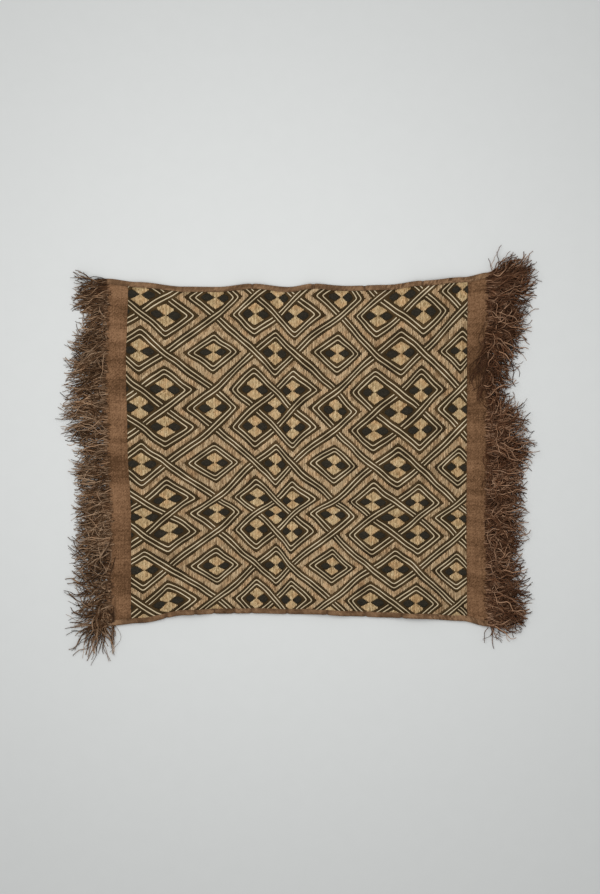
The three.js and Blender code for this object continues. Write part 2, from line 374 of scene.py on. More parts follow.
# How far columns lean to the right going up, at places across
LEAN = np.array([
    (-240, 0), (-60, 0.003), (-20, 0.015), (10, 0.03), (60, 0.037), (110, 0.03), (180, 0.026),
    (240, 0.02),
])
# How far rows fall to the right, half way up
TILT = 0.019
# Size and wave of the hand's wide and close wander
WIDE, CLOSE = (1.0, 100), (0.8, 42)
# Half sides in p and q, step from the repeat's corner, and how far it is drawn in across and up
STRAPS = [(4, 4, 0, 1, 1), (1, 1, 3, 0.98, 0.9), (3, 1, 0, 1, 1), (1, 3, 0, 1, 1)]
REPEAT = 6
CORNERS = [(REPEAT * i, REPEAT * j) for i in range(-2, 3) for j in range(-2, 4)]
STRAP_HALF = 0.345
# How far a strap runs in under another, and how fast it sinks there
CROSS_LAP, CROSS_FADE = 0.08, 0.06
# Length along a strap of a step of p or q, and of a stitch
DIAGONAL_STEP, STITCH_STEP = 20.3, 2.3
# Lines of a strap: offset from its middle, half width in mm, pale or not
LINES = [
    (-0.252, 1.95, False), (-0.128, 0.85, True), (0.0, 1.5, False), (0.128, 0.85, True),
    (0.252, 1.95, False),
]


def soft_curve(table):
    """A smooth curve through a table's points, straight past its ends."""
    x, y = table.T
    slope = np.gradient(y, x)

    def curve(at):
        i = np.clip(np.searchsorted(x, at) - 1, 0, len(x) - 2)
        h = x[i + 1] - x[i]
        t = (at - x[i]) / h
        inside = (
            y[i] * (1 + 2 * t) * (1 - t) ** 2 + h * slope[i] * t * (1 - t) ** 2
            + y[i + 1] * t * t * (3 - 2 * t) - h * slope[i + 1] * t * t * (1 - t)
        )
        before = y[0] + slope[0] * (at - x[0])
        after = y[-1] + slope[-1] * (at - x[-1])
        return np.where(at < x[0], before, np.where(at > x[-1], after, inside))

    return curve


column_at, row_at = soft_curve(COLUMNS), soft_curve(ROWS)
# Close lattice places, to look the curves up backwards
dense = np.linspace(-12, 16, 4000)
dense_u, dense_v = column_at(dense), row_at(dense)


def stray(u, v):
    """How far the hand strayed from the chart: it leaned, tilted and wandered."""
    across = np.interp(u, LEAN[:, 0], LEAN[:, 1]) * v + wobble(u, v, *WIDE, 5) + wobble(u, v, *CLOSE, 7)
    up = wobble(u, v, *WIDE, 6) + wobble(u, v, *CLOSE, 8) - TILT * u * (1 - (2 * v / BODY_H) ** 2)
    return across, up


def from_lattice(x, y):
    u, v = column_at(x), row_at(y)
    across, up = stray(u, v)
    return u + across, v + up


def to_lattice(u, v):
    """The place on the lattice, found in a few rounds that close in on it."""
    chart_u, chart_v = u, v
    for _ in range(4):
        across, up = stray(chart_u, chart_v)
        chart_u, chart_v = u - across, v - up
    return np.interp(chart_u, dense_u, dense), np.interp(-chart_v, -dense_v, dense)


figures = []
for corner_x, corner_y in CORNERS:
    for half_p, half_q, step, drawn_x, drawn_y in STRAPS:
        x, y = corner_x + step, corner_y + step
        figures.append((x + y, x - y, half_p, half_q, drawn_x, drawn_y))

# Where straps cross, the one under is cut: for each figure and side, the places along it
hidden = {}
for a, (pa, qa, half_pa, half_qa, *_) in enumerate(figures):
    for b, (pb, qb, half_pb, half_qb, *_) in enumerate(figures):
        if a == b:
            continue
        for sp in (-1, 1):
            for sq in (-1, 1):
                p, q = pa + sp * half_pa, qb + sq * half_qb
                if abs(q - qa) >= half_qa or abs(p - pb) >= half_pb:
                    continue
                x, y = (p + q) // 2 % REPEAT, (p - q) // 2 % REPEAT
                rising_over = x == 3 or y == 0
                key = (b, "q", sq) if rising_over else (a, "p", sp)
                hidden.setdefault(key, []).append(p if rising_over else q)


def strap_line(a, offset):
    """The runs of one line of a strap that show: lattice places, and how far up each stands."""
    p0, q0, half_p, half_q, drawn_x, drawn_y = figures[a]
    hp, hq = half_p + offset, half_q + offset
    sides = [("p", 1, hq, -hq), ("q", -1, hp, -hp), ("p", -1, -hq, hq), ("q", 1, -hp, hp)]
    ps, qs, shows = [], [], []
    for kind, sign, start, end in sides:
        steps = max(4, int(abs(end - start) * DIAGONAL_STEP / STITCH_STEP))
        t = np.linspace(start, end, steps, endpoint=False)
        across, origin = (q0, p0) if kind == "p" else (p0, q0)
        moving = t + across
        fixed = np.full(steps, origin + sign * (hp if kind == "p" else hq))
        show = np.ones(steps)
        for cut in hidden.get((a, kind, sign), []):
            near = np.abs(moving - cut)
            show = np.minimum(show, np.clip((near - STRAP_HALF + CROSS_LAP) / CROSS_FADE, -1, 1))
        ps.append(fixed if kind == "p" else moving)
        qs.append(moving if kind == "p" else fixed)
        shows.append(show)
    p, q, show = (join(part) for part in (ps, qs, shows))
    x0, y0 = (p0 + q0) / 2, (p0 - q0) / 2
    return x0 + ((p + q) / 2 - x0) * drawn_x, y0 + ((p - q) / 2 - y0) * drawn_y, show


def soften(values):
    """A closed loop's values with its corners eased."""
    for _ in range(2):
        values = 0.25 * np.roll(values, 1) + 0.5 * values + 0.25 * np.roll(values, -1)
    return values


def runs_of(keep):
    """Index lists of the runs of True around a closed loop."""
    count = len(keep)
    if keep.all():
        return [np.arange(count + 1) % count]
    start = int(np.argmin(keep))
    order = (np.arange(count) + start) % count
    flags = join([[False], keep[order], [False]])
    edges = np.flatnonzero(flags[1:] != flags[:-1])
    return [order[a:b] for a, b in edges.reshape(-1, 2) if b - a > 2]


# A line's profile, across its half width and up its height
PROFILE = np.array([(-1, 0.0), (-0.66, 0.72), (0, 1.0), (0.66, 0.72), (1, 0.0)])
DARK_HIGH, PALE_HIGH = 1.2, 1.35
# Dip of each second stitch, wander of the lines, and the sharpest corner that is mitred
BEAD_DIP = 0.16
LINE_WANDER, LINE_WAVE = 0.22, 24
MITRE_LEAST = 0.62


def ribbon(c, closed, show, half, high):
    """One run of a stitched line, as a grid across its profile: u, v, z and tone."""
    step = np.diff(c, axis=0)
    step /= np.linalg.norm(step, axis=1)[:, None]
    before = join([step[-1:] if closed else step[:1], step])
    after = join([step, step[:1] if closed else step[-1:]])
    turn = before + after
    turn /= np.linalg.norm(turn, axis=1)[:, None]
    mitre = 1 / np.clip((turn * after).sum(1), MITRE_LEAST, 1)
    normal = np.stack([-turn[:, 1], turn[:, 0]], -1) * mitre[:, None]
    bead = 1 - BEAD_DIP * (np.arange(len(c)) % 2)
    tall = high * bead * np.clip(0.55 + 0.45 * show, 0.2, 1)
    width = half * (0.94 + 0.06 * bead) + wobble(c[:, 0], c[:, 1], 0.12, 25, 9)
    u = c[:, :1] + normal[:, :1] * PROFILE[:, 0] * width[:, None]
    v = c[:, 1:] + normal[:, 1:] * PROFILE[:, 0] * width[:, None]
    z = STITCH_BASE + tall[:, None] * PROFILE[:, 1]
    tone = np.clip(0.5 + wobble(c[:, 0], c[:, 1], 0.3, 30, 12), 0, 1)
    return u, v, z, np.repeat(tone, len(PROFILE))


line_parts = {True: [], False: []}
for a in range(len(figures)):
    for k, (offset, half, pale) in enumerate(LINES):
        x, y, show = strap_line(a, offset)
        u, v = from_lattice(x, y)
        wander_u = wobble(u, v, LINE_WANDER, LINE_WAVE, 300 + k)
        wander_v = wobble(u, v, LINE_WANDER, LINE_WAVE, 310 + k)
        u, v = soften(u + wander_u), soften(v + wander_v)
        inside = (np.abs(u) < PANEL_U + 3) & (np.abs(v) < CUT_V + 3)
        for run in runs_of((show > -0.5) & inside):
            c = np.stack([u[run], v[run]], -1)
            high = PALE_HIGH if pale else DARK_HIGH
            line_parts[pale].append(ribbon(c, run[0] == run[-1], show[run], half, high))


def lines(name, parts, material):
    faces, start = [], 0
    for pu, *_ in parts:
        faces.append(grid_faces(*pu.shape, start)[:, ::-1])
        start += pu.size
    u, v, z, tone = (join([part[k].ravel() for part in parts]) for k in range(4))
    return on_panel(name, u, v, z, join(faces), material, tone)


dark_lines = lines("dark_lines", line_parts[False], DARK_LINE)
pale_lines = lines("pale_lines", line_parts[True], PALE_LINE)


# What fills a place of the pattern
STRAP, OPEN, PALE, HALO = range(4)
# Motifs of a repeat: their place, and how far each is drawn in across and up
MOTIFS = [
    (0, 0, 1, 1), (1, 1, 1, 1), (1, -1, 1, 1), (-1, 1, 1, 1), (-1, -1, 1, 1), (0, 3, 1, 1), (3, 0, 1, 1),
    (3, 3, 0.98, 0.9),
]
# Pale and dark diamonds of a motif: middle, half width and half height in lattice steps
PALE_AT, PALE_WIDE, PALE_TALL = 0.3, 0.375, 0.31
DARK_AT, DARK_WIDE, DARK_TALL = 0.36, 0.305, 0.27
# How far dark and pale stitches run in under the lines round a motif
HALO_LAP, PALE_LAP = 0.02, 0.07


def wrapped(value):
    return (value + REPEAT / 2) % REPEAT - REPEAT / 2


def fill_at(u, v):
    x, y = to_lattice(u, v)
    kind = np.full(u.shape, OPEN)
    for half_p, half_q, step, drawn_x, drawn_y in STRAPS:
        for i in range(-1, 2):
            for j in range(-1, 2):
                dx = (wrapped(x - step) + REPEAT * i) / drawn_x
                dy = (wrapped(y - step) + REPEAT * j) / drawn_y
                near = np.maximum(np.abs(dx + dy) - half_p, np.abs(dx - dy) - half_q)
                kind = np.where(np.abs(near) < STRAP_HALF, STRAP, kind)
    for motif_x, motif_y, drawn_x, drawn_y in MOTIFS:
        dx, dy = np.abs(wrapped(x - motif_x)) / drawn_x, np.abs(wrapped(y - motif_y)) / drawn_y
        pale = dx / PALE_WIDE + np.abs(dy - PALE_AT) / PALE_TALL < 1
        kind = np.where(dx + dy < 1 - STRAP_HALF + HALO_LAP, HALO, kind)
        kind = np.where(pale & (dx + dy < 1 - STRAP_HALF + PALE_LAP), PALE, kind)
    return kind


# A stitch's profiles across and along: place and height
ACROSS = np.array([(-1, 0.0), (-0.55, 0.85), (0.55, 0.85), (1, 0.0)])
ALONG = np.array([(0, 0.35), (0.14, 0.88), (0.5, 1.0), (0.86, 0.88), (1, 0.35)])


def stitch_grids(start, end, half, base, high):
    """Low round stitches from start to end, as grids of u, v and z that face up."""
    t, s = ALONG[None, :, None, 0], ACROSS[None, None, :, 0]
    sizes = (np.broadcast_to(value, len(start))[:, None, None] for value in (half, base, high))
    half, base, high = sizes
    du, dv = ((end - start)[:, axis, None, None] for axis in (0, 1))
    size = np.hypot(du, dv)
    u = start[:, 0, None, None] + du * t + dv / size * s * half
    v = start[:, 1, None, None] + dv * t - du / size * s * half
    z = base + high * ALONG[None, :, None, 1] * ACROSS[None, None, :, 1]
    return u, v, z, many_grids(len(start), len(ALONG), len(ACROSS))


def per_stitch(tone):
    return np.repeat(tone, len(ALONG) * len(ACROSS))


# Step of the search along columns, the shortest stitch, and the overlap
SEARCH, SHORTEST, OVERLAP = 0.35, 1.2, 0.2


def stitch_columns(kind, pitch, longest, seed):
    """Upright stitches that fill every place of a kind: middle u, low v and high v."""
    pick = draws(seed)
    us = np.arange(-PANEL_U + pitch / 2, PANEL_U, pitch)
    us = us + pick.normal(0, 0.06 * pitch, len(us))
    vs = np.arange(-CUT_V, CUT_V, SEARCH)
    found = fill_at(*np.meshgrid(us, vs, indexing="ij")) == kind
    stitches = []
    for u, flags in zip(us, found):
        edges = np.flatnonzero(np.diff(join([[False], flags, [False]]).astype(int)))
        for low, high in edges.reshape(-1, 2):
            length = (high - low) * SEARCH
            if length < SHORTEST:
                continue
            count = math.ceil(length / longest)
            ends = vs[low] + np.linspace(0, length, count + 1)
            ends[1:-1] += pick.normal(0, 0.18 * length / count, count - 1)
            for k in range(count):
                stitches.append((u, ends[k] - OVERLAP, ends[k + 1] + OVERLAP))
    return np.array(stitches)


# Pale raffia is paler near the cloth's middle: by how much, and its reach
PALER, PALER_REACH = 0.13, 95.0


def upright_stitches(name, stitches, half, high, slant, material, seed, spread=0.16, paler=False):
    """Stitches of one kind; a paler one's tone changes across the cloth."""
    pick = draws(seed)
    count = len(stitches)
    lean = pick.normal(slant, 0.3, count)
    start = np.stack([stitches[:, 0] - lean / 2, stitches[:, 1]], -1)
    end = np.stack([stitches[:, 0] + lean / 2, stitches[:, 2]], -1)
    wide = half * pick.uniform(0.9, 1.1, count)
    tall = high * pick.uniform(0.8, 1.12, count)
    u, v, z, faces = stitch_grids(start, end, wide, STITCH_BASE, tall)
    middle = np.exp(-((stitches[:, 0] / PALER_REACH) ** 2))
    mean = 0.46 + PALER * middle if paler else 0.5
    tone = per_stitch(np.clip(pick.normal(mean, spread, count), 0, 1))
    return on_panel(name, u.ravel(), v.ravel(), z.ravel(), faces, material, tone)


field = upright_stitches(
    "field_stitches", stitch_columns(OPEN, pitch=2.2, longest=6, seed=31),
    half=1.06, high=1.05, slant=0.3, material=FIELD, seed=32, spread=0.3, paler=True,
)
pale_pile = upright_stitches(
    "pale_pile", stitch_columns(PALE, pitch=2.0, longest=4.5, seed=33),
    half=1.02, high=1.4, slant=0.1, material=PALE_PILE, seed=34, spread=0.22, paler=True,
)
halo = upright_stitches(
    "dark_stitches", stitch_columns(HALO, pitch=2.0, longest=7, seed=35),
    half=1.05, high=0.9, slant=0.1, material=DARK_LINE, seed=36,
)

# Dark diamonds of cut pile: domed, tufted and round at the corners
TUFT_POINTS = 13
TUFT_HIGH, TUFT_UNEVEN = 1.7, 0.17
pick = draws(41)
tufts = []
for corner_x, corner_y in CORNERS:
    for motif_x, motif_y, drawn_x, drawn_y in MOTIFS:
        for sign in (-1, 1):
            tuft = motif_x + corner_x + DARK_AT * sign * drawn_x, motif_y + corner_y
            u, v = from_lattice(np.array(tuft[0]), np.array(tuft[1]))
            if abs(u) < PANEL_U + 7 and abs(v) < CUT_V + 7:
                tufts.append((*tuft, drawn_x, drawn_y))
tufts = np.array(tufts)[:, None, None]
p, q = np.meshgrid(*[np.linspace(-1, 1, TUFT_POINTS)] * 2)
x, y = (p + q) / 2, (p - q) / 2
reach = np.abs(x) + np.abs(y)
corner = np.maximum(np.abs(x), np.abs(y)) / np.maximum(reach, 1e-6)
rounded = 1.06 - 0.24 * (2 * corner - 1) ** 2
grown = pick.uniform(0.92, 1.08, (len(tufts), 1, 1))
u, v = from_lattice(
    tufts[..., 0] + x * rounded * grown * DARK_WIDE * tufts[..., 2],
    tufts[..., 1] + y * rounded * grown * DARK_TALL * tufts[..., 3],
)
dome = np.clip((1 - reach) / 0.3, 0, 1) ** 0.6
z = STITCH_BASE + dome * (TUFT_HIGH + pick.normal(0, TUFT_UNEVEN, u.shape))
tone = np.clip(pick.normal(0.45, 0.22, u.shape), 0, 1)
faces = many_grids(len(u), TUFT_POINTS, TUFT_POINTS)
dark_pile = on_panel("dark_pile", u.ravel(), v.ravel(), z.ravel(), faces, DARK_PILE, tone.ravel())


# The plain side bands: rows of weave, folded across. Place up, reach and height of each fold, whose dips
# are also painted darker and ridges lighter
LEFT_FOLDS = np.array([
    (178, 5, -0.5), (152, 4, -0.7), (130, 9, -1.0), (17.7, 5, -0.8), (-37, 7, -0.6), (-127.6, 0.9, 0.6),
    (-196, 9, -0.6), (70, 14, 0.3), (-80, 16, 0.3), (190, 70, 0.35), (-150, 60, -0.25),
])
RIGHT_FOLDS = np.array([
    (214, 3, 0.5), (167, 3, 0.5), (140, 8, -0.4), (128, 25, -0.72), (92, 25, -0.72), (60, 6, -0.2),
    (24, 18, 0.25), (-20, 9, 0.4), (-58, 6, -0.8), (-140.6, 0.9, 0.6), (-180, 8, -0.6),
])
THREAD_PITCH = 2.2
# A band's gap to the panel, underside and top, and the heights of folds and weave
BAND_GAP, BAND_LOW, BAND_TOP = 0.05, 0.05, 1.35
FOLD_HIGH, KNUCKLE_HIGH = 0.45, 0.13


def band(name, node, sign, folds):
    inner, outer = PANEL_U + BAND_GAP, HALF_W
    cut = HALF_H - FOLD_R
    columns, rows = round(2 * (outer - inner) / THREAD_PITCH) + 1, round(4 * cut / THREAD_PITCH) + 1
    u, v = np.meshgrid(np.sort(sign * np.linspace(inner, outer, columns)), np.linspace(-cut, cut, rows))
    across, up = np.arange(columns)[None], np.arange(rows)[:, None]
    knuckle = np.sin(math.pi / 2 * across) * np.sin(math.pi / 2 * up)
    creased = ease(np.abs(u), inner + 1, inner + 6)
    fold = 0 * u
    for place, reach, height in folds:
        bent = v - place - wobble(u, v, 0.3 * reach + 0.4, 40, 3)
        fold = fold + height * np.exp(-((bent / reach) ** 2)) * (creased if reach < 2 else 1)
    cockle = wobble(u * 0.5, v, 0.3, 26, 50 + sign) + wobble(u, v, 0.12, 9, 60 + sign)
    high = BAND_TOP + cockle + FOLD_HIGH * fold + KNUCKLE_HIGH * knuckle
    pick = draws(75 + sign)
    dye = pick.normal(0, 0.05, (rows, 1)) + pick.normal(0, 0.05, (1, columns))
    dye = dye + pick.normal(0, 0.2, u.shape)
    # Painted shade and light: darker in the dips of the folds, lighter on their ridges and on raised
    # knuckles of the weave
    tone = 0.5 + wobble(u * 0.25, v, 0.2, 34, 70 + sign) + 0.42 * fold
    tone = np.clip(tone + 0.1 * knuckle + dye, 0, 1)
    points, faces = closed_sheet(u, v, 0 * u + BAND_LOW, high)
    piece = make(name, points, faces, [BAND], np.tile(tone.ravel(), 2))
    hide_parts(node)


band("left_band_weave", "band_left", -1, LEFT_FOLDS)
band("right_band_weave", "band_right", 1, RIGHT_FOLDS)


# The bindings: strips of coarse slanting yarns folded round the edges, pulled in where they are tied
YARN_PITCH, YARN_SLANT, YARN_CELLS = 2.6, 0.5, 4
# Stations across a strip under and over the cloth, how far its middle lies inside the fold, half its
# thickness, and its count of stations along the edge
UNDER_AT, OVER_AT = (BINDING_W, 7.0, 4.5), (4.0, 5.3, 6.6, LIP_W)
INSET, SHEET_HALF = 0.5, 0.46
BINDING_STATIONS = 660
# Reach of a tie, and how far it pulls the strip down and in
TIE_REACH, PULL_DOWN, PULL_IN = 2.6, 0.7, 0.9


def fold_profile():
    """The strip's middle line, from under the cloth to over it: from the edge, and up."""
    fold = np.linspace(-math.pi / 2, math.pi / 2, 8)
    radius = FOLD_R - INSET
    low = [(w, -RAISE + INSET) for w in UNDER_AT]
    bend = [(FOLD_R - radius * math.cos(a), FOLD_R - RAISE + radius * math.sin(a)) for a in fold]
    high = [(w, 2 * FOLD_R - RAISE - INSET) for w in OVER_AT]
    return np.array(low + bend + high)


def past_panel(u):
    """One over the bands, which are thinner than the panel, and none over the panel."""
    return ease(np.abs(u), PANEL_U - 1, PANEL_U + 5)


def binding(name, node, sign, ties, coarse_from, seed):
    pick = draws(seed)
    middle = fold_profile()
    step = np.gradient(middle, axis=0)
    step /= np.linalg.norm(step, axis=1)[:, None]
    side = np.stack([-step[:, 1], step[:, 0]], -1) * SHEET_HALF
    ring = join([middle + side, (middle - side)[::-1]])
    u = np.linspace(-HALF_W, HALF_W, BINDING_STATIONS)[:, None]
    w, z = ring[None, :, 0], ring[None, :, 1]
    pull = sum(np.exp(-(((u - tie) / TIE_REACH) ** 2)) for tie in ties)
    upper = ease(z, 0.5, 3.0)
    droop = past_panel(u) * upper * ease(w, 2.0, 6.0)
    swell = wobble(u, 0 * u, 0.3, 30, seed) + wobble(u, 0 * u, 0.15, 9, seed + 1)
    cell = np.arange(len(ring))[None] // YARN_CELLS
    place = (u + YARN_SLANT * w) / YARN_PITCH + 0.5 * (cell % 2) + BODY_W
    yarn = np.abs(np.sin(math.pi * place)) ** 0.7
    coarse = 0.45 + 0.55 * ease(u, coarse_from, coarse_from + 50)
    speckle = pick.normal(0, 0.22, (int(place.max()) + 1, cell.max() + 1))[place.astype(int), cell]
    z = z + upper * (swell - PULL_DOWN * pull) - droop + 0.3 * upper * coarse * (yarn - 0.6)
    w = w + PULL_IN * pull * (1 - w / BINDING_W) + wobble(u, 0 * u, 0.35, 40, seed + 2) * (w / BINDING_W)
    w = w - 0.25 * coarse * (yarn - 0.6) * (1 - ease(w, 0.5, 3.0))
    v = sign * (HALF_H - w)
    u = np.broadcast_to(u, v.shape)
    points = lay(u, v, z).reshape(-1, 3)
    at = np.arange(v.size).reshape(v.shape)
    after = np.roll(at, -1, axis=1)
    wall = np.stack([at[:-1], at[1:], after[1:], after[:-1]], -1).reshape(-1, 4)
    count = len(ring)
    rung = np.arange(count // 2 - 1)
    cap = np.stack([rung, rung + 1, count - 2 - rung, count - 1 - rung], -1)
    ends = [at[0][cap], at[-1][cap][:, ::-1]]
    faces = join([wall, *ends])
    if sign > 0:
        faces = faces[:, ::-1]
    # Random speckle of the yarns plus painted highlights on the raised yarns; the ties' pulled-in
    # dimples get painted shade
    speckle_and_yarn_highlight = coarse * (speckle + 0.6 * (yarn - 0.6))
    tone = 0.45 + 0.12 * coarse + wobble(u, v * 3, 0.2, 40, seed + 3) - 0.3 * pull + speckle_and_yarn_highlight
    tone = np.clip(tone, 0, 1)
    piece = make(name, points, [faces], [BINDING], tone.ravel())
    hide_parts(node)


# Places of ties, and from where to the right the yarns are coarser
BOTTOM_TIES = np.array([-194.0, -151, -124, -95, -69, -17, 41, 97, 150])
TOP_TIES = np.array([-66.0, 22, 96, 180])
TOP_COARSE, BOTTOM_COARSE = 100, 150
binding("top_binding_fold", "binding_top", 1, TOP_TIES, TOP_COARSE, seed=80)
binding("bottom_binding_fold", "binding_bottom", -1, BOTTOM_TIES, BOTTOM_COARSE, seed=90)

# A strand's width and height against its radius, and its lowest place
STRAND_WIDE, STRAND_TALL, STRAND_LOW = 1.25, 0.9, 0.03


def tubes(u, v, z, radius, pick):
    """Three-sided strands along middle lines: laid points, quads of the sides, triangles of the ends."""
    count, rings = u.shape
    du, dv = np.gradient(u, axis=1), np.gradient(v, axis=1)
    run = np.sqrt(du**2 + dv**2) + 1e-6
    turn = pick.uniform(0, 2 * math.pi, count)[:, None, None] + 2 * math.pi / 3 * np.arange(3)
    flat = STRAND_WIDE * np.cos(turn) * radius[..., None]
    tall = STRAND_TALL * np.sin(turn) * radius[..., None]
    side_u = u[..., None] - (dv / run)[..., None] * flat
    side_v = v[..., None] + (du / run)[..., None] * flat
    points = lay(side_u, side_v, z[..., None] + tall)
    points[..., 2] = np.maximum(points[..., 2], STRAND_LOW * MM)
    at = np.arange(count * rings * 3).reshape(count, rings, 3)
    after = np.roll(at, -1, axis=2)
    wall = np.stack([at[:, :-1], after[:, :-1], after[:, 1:], at[:, 1:]], -1).reshape(-1, 4)
    ends = join([at[:, -1], at[:, 0, ::-1]])
    return points.reshape(-1, 3), wall, ends


# Sewing along the bindings: running stitches by the lip, and a tie where the strip is pulled in.
# Step of running stitches and its unevenness, their half lengths, and distance from the edge
RUN_STEP, RUN_UNEVEN = 9.5, 1.8
RUN_HALF, RUN_AT = (1.0, 2.4), (6.0, 7.1)
# A tie's start and end from the edge, and its lean
TIE_FROM, TIE_TO, TIE_LEAN = 1.4, 7.7, 0.5
# How far running stitches and ties are sunk, half widths, and height
SUNK, THREAD_HALF, THREAD_HIGH = np.array([0.35, 0.75]), np.array([0.34, 0.6]), 0.7
LOOSE_HIGH, LOOSE_LOW, LOOSE_R = 2, 0.3, 0.2


def sewing(name, sign, ties, loose_end, seed):
    pick = draws(seed)
    run_u = np.arange(-HALF_W + 5, HALF_W - 5, RUN_STEP)
    run_u = run_u + pick.normal(0, RUN_UNEVEN, len(run_u))
    half = pick.uniform(*RUN_HALF, len(run_u))
    lip = pick.uniform(*RUN_AT, len(run_u))
    lip_end = lip + pick.normal(0, 0.3, len(run_u))
    tied = np.repeat([0, 1], [len(run_u), len(ties)])
    start_u = join([run_u - half, ties])
    end_u = join([run_u + half, ties + TIE_LEAN])
    start_v = sign * (HALF_H - join([lip, np.full(len(ties), TIE_FROM)]))
    end_v = sign * (HALF_H - join([lip_end, np.full(len(ties), TIE_TO)]))
    base = 2 * FOLD_R - RAISE - SUNK[tied] - past_panel(start_u)
    start, end = np.stack([start_u, start_v], -1), np.stack([end_u, end_v], -1)
    u, v, z, faces = stitch_grids(start, end, THREAD_HALF[tied], base, THREAD_HIGH)
    tone = per_stitch(pick.uniform(0.2, 0.9, len(tied)))
    points = lay(u, v, z).reshape(-1, 3)
    loose_u, loose_v = loose_end.T[:, None]
    loose_z = np.linspace(LOOSE_HIGH, LOOSE_LOW, len(loose_end))[None]
    loose_points, wall, caps = tubes(loose_u, loose_v, loose_z, np.full(loose_u.shape, LOOSE_R), pick)
    faces = [faces, wall + len(points), caps + len(points)]
    tone = join([tone, np.full(len(loose_points), 0.5)])
    make(name, join([points, loose_points]), faces, [THREAD], tone)


# Loose ends of the thread, off the cloth's corners
TOP_END = np.array([(272.0, 240), (275, 243), (278, 244), (281, 243)])
BOTTOM_END = np.array([
    (-269, -241), (-265, -248), (-261.5, -254), (-260, -260), (-261, -265), (-266, -271), (-272, -277),
    (-276.5, -281.5),
])
sewing("top_sewing", 1, TOP_TIES, TOP_END, seed=101)
sewing("bottom_sewing", -1, BOTTOM_TIES, BOTTOM_END, seed=102)


# The fringes: locks of kinked raffia. A row is the share of the height, the heading in degrees above
# straight out, the length, and the share of strands
LEFT_LOCKS = np.array([
    (0.0, -68, 70, 1.1), (0.04, -50, 66, 1), (0.09, -20, 57, 0.85), (0.15, -8, 56, 0.8),
    (0.19, -7, 54, 0.85), (0.23, -6, 52, 1), (0.32, -6, 53, 1), (0.43, -5, 52, 0.85), (0.5, -4, 47, 0.6),
    (0.55, -6, 54, 0.6), (0.58, -9, 66, 0.6), (0.62, -10, 66, 0.6), (0.67, -12, 60, 1),
    (0.73, -14, 58, 1), (0.8, -16, 54, 1), (0.84, -18, 46, 0.9), (0.88, -20, 36, 1),
    (0.92, -18, 40, 1.2), (0.96, -16, 49, 1.2), (1.0, -12, 50, 1.1),
])
RIGHT_LOCKS = np.array([
    (0.0, 9, 52, 1), (0.03, 3, 60, 1), (0.1, -6, 62, 1), (0.15, -6, 60, 1), (0.175, -4, 48, 1),
    (0.21, -6, 50, 1), (0.28, -8, 58, 1), (0.36, -8, 56, 1), (0.42, -8, 60, 1), (0.49, -6, 67, 1),
    (0.54, 0, 69, 1), (0.58, 6, 60, 0.9), (0.61, 4, 40, 0.7), (0.635, -36, 26, 0.4),
    (0.68, -50, 34, 0.32), (0.73, -48, 46, 0.4), (0.78, -38, 50, 0.65), (0.81, -26, 56, 1),
    (0.84, -16, 64, 1.2), (0.87, -14, 64, 1.1), (0.895, -22, 47, 1), (0.92, -16, 66, 1.2),
    (0.945, -6, 75, 1.6), (0.97, 8, 68, 1.9), (1.0, 17, 52, 2.1),
])
# Share of the height, and the painted shade there: how much lighter than its own tone the fringe is
# painted (darker where negative), most near the roots
LEFT_PAINTED_SHADE = np.array([
    (0.0, -0.04), (0.2, 0), (0.3, 0), (0.44, -0.12), (0.62, -0.2), (0.78, -0.1), (0.9, -0.1),
    (0.97, -0.32), (1.0, -0.32),
])
RIGHT_PAINTED_SHADE = np.array([
    (0.0, 0.02), (0.15, 0), (0.22, -0.14), (0.32, -0.14), (0.4, 0), (0.6, 0), (0.68, -0.26),
    (0.76, -0.4), (0.86, -0.2), (0.97, -0.1), (1.0, -0.05),
])
# Locks that flopped back over the right band
FLOPPED = np.array([
    (0.83, -118, 44, 0.35), (0.81, -136, 52, 0.4), (0.79, -124, 60, 0.4), (0.77, -142, 58, 0.4),
    (0.75, -122, 60, 0.45), (0.73, -138, 54, 0.4), (0.71, -124, 46, 0.3), (0.69, -134, 36, 0.2),
])
# Wisps that stand out from the rest of the right fringe
WISPS = np.array([
    (0.0, -80, 36, 0.08), (0.0, -58, 42, 0.06), (1.0, 74, 54, 0.12), (0.99, 92, 44, 0.06),
    (0.81, -6, 74, 0.06), (0.76, -8, 64, 0.05), (0.66, 34, 46, 0.12), (0.63, 40, 44, 0.12),
])
LOCK_COUNT = 62
RINGS = 13
RING_AT = np.linspace(0, 1, RINGS)[None]
# Periods of a strand's waves, and the size of each against its crimp
WAVES = [(28, 60, 1.6), (13, 26, 1.0)]
# How each fringe lies: astray, crimp and curl are in degrees, crest says where along a strand it is
# highest, tangled is a share of the height, and root and tip say how much painted light makes those
# paler
LEFT_STYLE = dict(
    material=LEFT_FRINGE, strands=1700, loose=0.5, astray=30, crimp=13, curl=42, depth=8, crest=1.25,
    thin=0.27, thick=0.64, top_loose=0.25, bottom_loose=1.0, tangled=0.3,
    tone=0.33, painted_shade=LEFT_PAINTED_SHADE, root=0.04, tip=0.2,
)
RIGHT_STYLE = dict(
    material=RIGHT_FRINGE, strands=2300, loose=0.7, astray=42, crimp=21, curl=54, depth=14, crest=0.8,
    thin=0.3, thick=0.68, top_loose=0.25, bottom_loose=0.3, tangled=0.0,
    tone=0.22, painted_shade=RIGHT_PAINTED_SHADE, root=0.16, tip=0.06,
)
# Strands that lie over the band: curl and crimp in degrees, reach, and heights
OVER_CURL, OVER_CRIMP, OVER_BACK, OVER_LAYER = 44, 12, 27, (0.5, 3)
# A strand's highest place, and its clearance over the cloth
STRAND_MOST, STRAND_CLEAR = 19, 2.0
# Bound heads: pitch, reach over the band and past the strip, underside and height
HEAD_PITCH, HEAD_OVER, HEAD_PAST = 4.6, (0.8, 2.4), 0.6
HEAD_LOW, HEAD_HIGH = 1.2, 1.3


